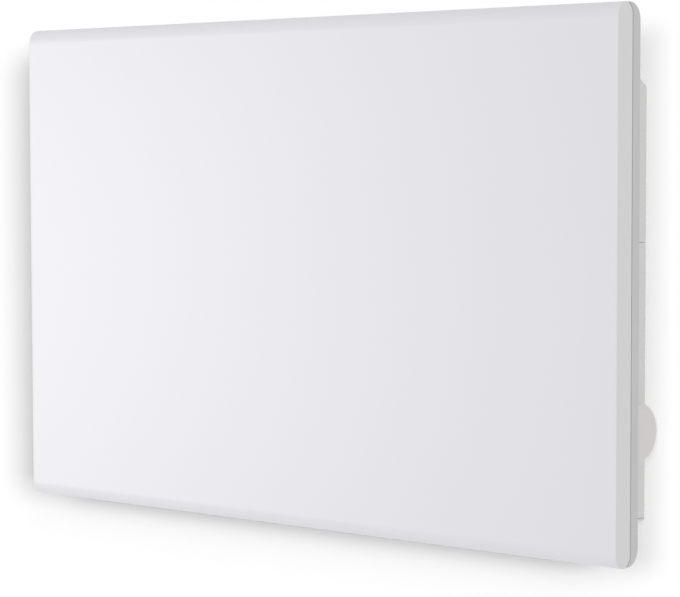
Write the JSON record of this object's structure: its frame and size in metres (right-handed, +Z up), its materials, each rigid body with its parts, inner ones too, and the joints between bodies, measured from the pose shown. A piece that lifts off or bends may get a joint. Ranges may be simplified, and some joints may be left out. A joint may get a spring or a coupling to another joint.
{
  "type": "wall convector heater",
  "caption": "Slim wall-mounted panel convector heater: smooth front with rolled edges, finned element in a rear duct, side thermostat knob and a hang-on wall bracket.",
  "frame": {"origin": "on the wall plane, in the middle of the bracket's four screw holes, at the panel's mid-height", "axes": "+X to the right seen from the front, +Y into the wall, +Z up"},
  "size_m": [0.585, 0.083, 0.389],
  "materials": {
    "front_paint": "satin powder coat",
    "tray_paint": "matt paint",
    "white_moulding": "fine texture",
    "knob_moulding": "smooth satin",
    "zinc_steel": "zinc plated",
    "fin_aluminium": "as extruded",
    "sheath_steel": "heat stained",
    "bush_ceramic": "unglazed ceramic",
    "black_moulding": "satin",
    "pale_moulding": "smooth",
    "grey_moulding": "smooth",
    "brass_parts": "turned",
    "soft_rubber": "matt",
    "blue_sleeve": "smooth",
    "brown_sleeve": "smooth",
    "earth_sleeve": "smooth"
  },
  "bodies": {
    "heater": {"front_panel": "front_paint", "end_cap_left": "white_moulding", "end_cap_right": "white_moulding", "back_tray": "tray_paint", "control_housing": "white_moulding", "side_cover_right": "white_moulding", "side_cover_left": "white_moulding", "terminal_lid": "white_moulding", "duct_back": "zinc_steel", "outlet_grille": "zinc_steel", "inlet_grille": "zinc_steel", "heat_shield": "fin_aluminium", "element_fins": "fin_aluminium", "element_rod": "sheath_steel", "element_bushes": "bush_ceramic", "element_hanger_left": "zinc_steel", "element_hanger_right": "zinc_steel", "thermal_cutout": "black_moulding", "thermostat_body": "pale_moulding", "thermostat_nut": "zinc_steel", "switch_body": "black_moulding", "terminal_block": "pale_moulding", "terminal_screws": "brass_parts", "earth_stud": "brass_parts", "cable_gland": "grey_moulding", "gland_locknut": "grey_moulding", "wire_grommets": "soft_rubber", "wire_neutral": "blue_sleeve", "wire_cutout": "brown_sleeve", "wire_live": "brown_sleeve", "wire_feed": "brown_sleeve", "wire_switched": "brown_sleeve", "wire_earth": "earth_sleeve", "bracket_rail_left": "zinc_steel", "bracket_rail_right": "zinc_steel", "bracket_crossbars": "zinc_steel", "bracket_rivets": "zinc_steel", "hanging_brackets": "zinc_steel", "hanging_pins": "zinc_steel", "wall_bumpers": "soft_rubber", "end_cap_screws": "zinc_steel", "casing_screws": "zinc_steel", "cover_screws": "zinc_steel", "lid_screws": "zinc_steel"},
    "knob": {"thermostat_knob": "knob_moulding", "thermostat_shaft": "zinc_steel"},
    "rocker": {"mains_rocker": "black_moulding"},
    "lock_left": {"bracket_lock_left": "grey_moulding"},
    "lock_right": {"bracket_lock_right": "grey_moulding"}
  },
  "joints": [
    {"name": "thermostat_turn", "type": "hinge", "parent": "heater", "child": "knob", "pos_m": [0.263, -0.025, -0.106], "axis": [-1, 0, 0], "range_deg": [-135, 135]},
    {"name": "mains_rock", "type": "hinge", "parent": "heater", "child": "rocker", "pos_m": [0.2595, -0.036, -0.022], "axis": [0, 1, 0], "range_deg": [0, 16]},
    {"name": "lock_left_slide", "type": "slide", "parent": "heater", "child": "lock_left", "axis": [0, 0, 1], "range_m": [0, 0.01]},
    {"name": "lock_right_slide", "type": "slide", "parent": "heater", "child": "lock_right", "axis": [0, 0, 1], "range_m": [0, 0.01]}
  ]
}
